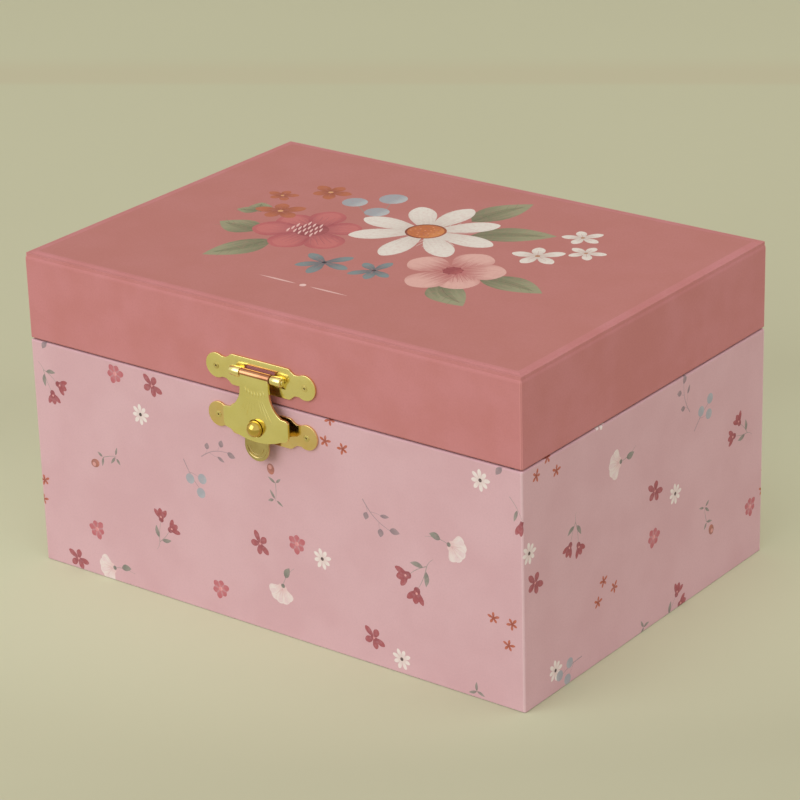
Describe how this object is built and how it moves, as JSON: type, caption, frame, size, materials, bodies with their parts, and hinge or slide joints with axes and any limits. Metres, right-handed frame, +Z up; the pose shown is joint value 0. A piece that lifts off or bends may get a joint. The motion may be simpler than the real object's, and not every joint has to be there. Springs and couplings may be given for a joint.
{
  "type": "musical jewellery box",
  "caption": "Paper-covered musical jewellery box with a hinged mirrored lid, brass hasp, trays, ring cushion, comb movement and a turning ballerina.",
  "frame": {"origin": "middle of the box's footprint, on the underside of the base board", "axes": "+X to the right along the width, -Y towards the front with the latch, +Z up; drawn shut"},
  "size_m": [0.156, 0.135, 0.0875],
  "materials": {
    "case_paper": "matt printed paper with small flowers",
    "lid_paper": "matt printed paper with a bouquet on top",
    "lining_paper": "matt embossed lining paper",
    "greyboard": "raw greyboard",
    "softwood": "sawn softwood",
    "velvet": "short-pile velvet",
    "tulle": "stiffened tulle",
    "latch_brass": "bright brassed stamping",
    "nail_brass": "brassed wire",
    "movement_brass": "satin brass",
    "cast_zinc": "cast zinc, brass-washed",
    "screw_steel": "plated steel",
    "comb_steel": "hardened comb steel",
    "spring_steel": "polished spring steel",
    "lead": "dull lead",
    "mirror_glass": "silvered glass",
    "figure_plastic": "moulded plastic, satin"
  },
  "bodies": {
    "case": {"base_board": "greyboard", "case_front_board": "greyboard", "case_back_board": "greyboard", "case_side_boards": "greyboard", "case_wrap": "case_paper", "case_lining": "lining_paper", "cross_divider": "lining_paper", "side_divider": "lining_paper", "front_divider": "lining_paper", "tray_floor": "lining_paper", "deck": "lining_paper", "cleats": "softwood", "tray_pads": "velvet", "ring_cushion": "velvet", "case_hinge_leaves": "latch_brass", "hinge_pins": "nail_brass", "case_nails": "nail_brass", "catch_plate": "latch_brass", "catch_knob": "latch_brass", "bedplate": "cast_zinc", "movement_screws": "screw_steel", "barrel_bridge": "movement_brass", "spindle_bracket": "movement_brass", "comb": "comb_steel", "comb_weights": "lead", "comb_screws": "screw_steel", "governor_frame": "movement_brass", "bushes": "movement_brass"},
    "lid": {"lid_top_board": "greyboard", "lid_front_board": "greyboard", "lid_back_board": "greyboard", "lid_side_boards": "greyboard", "lid_wrap": "lid_paper", "lid_lining": "lining_paper", "mirror": "mirror_glass", "mirror_surround": "lining_paper", "lid_hinge_leaves": "latch_brass", "lid_nails": "nail_brass", "hasp_plate": "latch_brass", "hasp_pin": "nail_brass", "lid_striker": "softwood"},
    "hasp": {"hasp_flap": "latch_brass"},
    "key": {"winding_key": "movement_brass", "winding_arbor": "screw_steel"},
    "barrel": {"spring_barrel": "movement_brass", "barrel_cap": "movement_brass", "mainspring": "spring_steel"},
    "cylinder": {"pin_cylinder": "movement_brass", "cylinder_pinion": "movement_brass", "cylinder_wheel": "movement_brass", "spindle": "screw_steel", "turntable": "movement_brass"},
    "governor": {"governor_wheel": "movement_brass"},
    "fan": {"air_brake": "screw_steel"},
    "spring_lean": {"figure_ferrule": "movement_brass", "figure_spring": "spring_steel"},
    "figure": {"ballerina": "figure_plastic", "tutu": "tulle"},
    "stopper": {"stop_wire": "spring_steel", "stop_spring": "spring_steel"}
  },
  "joints": [
    {"name": "lid_hinge", "type": "hinge", "parent": "case", "child": "lid", "pos_m": [0, 0.0565, 0.0636], "axis": [-1, 0, 0], "range_deg": [0, 100]},
    {"name": "hasp_hinge", "type": "hinge", "parent": "lid", "child": "hasp", "pos_m": [0, -0.0569, 0.071], "axis": [-1, 0, 0], "range_deg": [0, 110]},
    {"name": "key_turn", "type": "hinge", "parent": "case", "child": "key", "pos_m": [0.033, 0.05, 0.014], "axis": [0, 1, 0], "continuous": true},
    {"name": "barrel_spin", "type": "hinge", "parent": "case", "child": "barrel", "pos_m": [0.033, 0.045, 0.014], "axis": [0, 1, 0], "continuous": true},
    {"name": "cylinder_spin", "type": "hinge", "parent": "case", "child": "cylinder", "pos_m": [0.033, 0.0353, 0.035], "axis": [0, 0, 1], "continuous": true},
    {"name": "governor_spin", "type": "hinge", "parent": "case", "child": "governor", "pos_m": [0.045, 0.0353, 0.04], "axis": [0, 0, 1], "continuous": true},
    {"name": "fan_spin", "type": "hinge", "parent": "case", "child": "fan", "pos_m": [0.0511, 0.04, 0.039], "axis": [0, 1, 0], "continuous": true},
    {"name": "figure_lean", "type": "hinge", "parent": "case", "child": "spring_lean", "pos_m": [0.033, 0.0353, 0.0562], "axis": [-1, 0, 0], "range_deg": [0, 50.5], "deforming": ["figure_spring"]},
    {"name": "figure_spin", "type": "hinge", "parent": "spring_lean", "child": "figure", "pos_m": [0.033, 0.0353, 0.0562], "axis": [0, -0.766, 0.6428], "continuous": true},
    {"name": "stop_slide", "type": "slide", "parent": "case", "child": "stopper", "axis": [0, 0, 1], "range_m": [0, 0.00305], "deforming": ["stop_spring"]}
  ],
  "couplings": [
    {"joint": "cylinder_spin", "follows": "barrel_spin", "ratio": -2},
    {"joint": "governor_spin", "follows": "barrel_spin", "ratio": 8},
    {"joint": "fan_spin", "follows": "barrel_spin", "ratio": 120},
    {"joint": "figure_spin", "follows": "barrel_spin", "ratio": -2},
    {"joint": "figure_lean", "follows": "lid_hinge", "ratio": 0.5},
    {"joint": "stop_slide", "follows": "lid_hinge", "m_per_rad": 0.0017189}
  ]
}
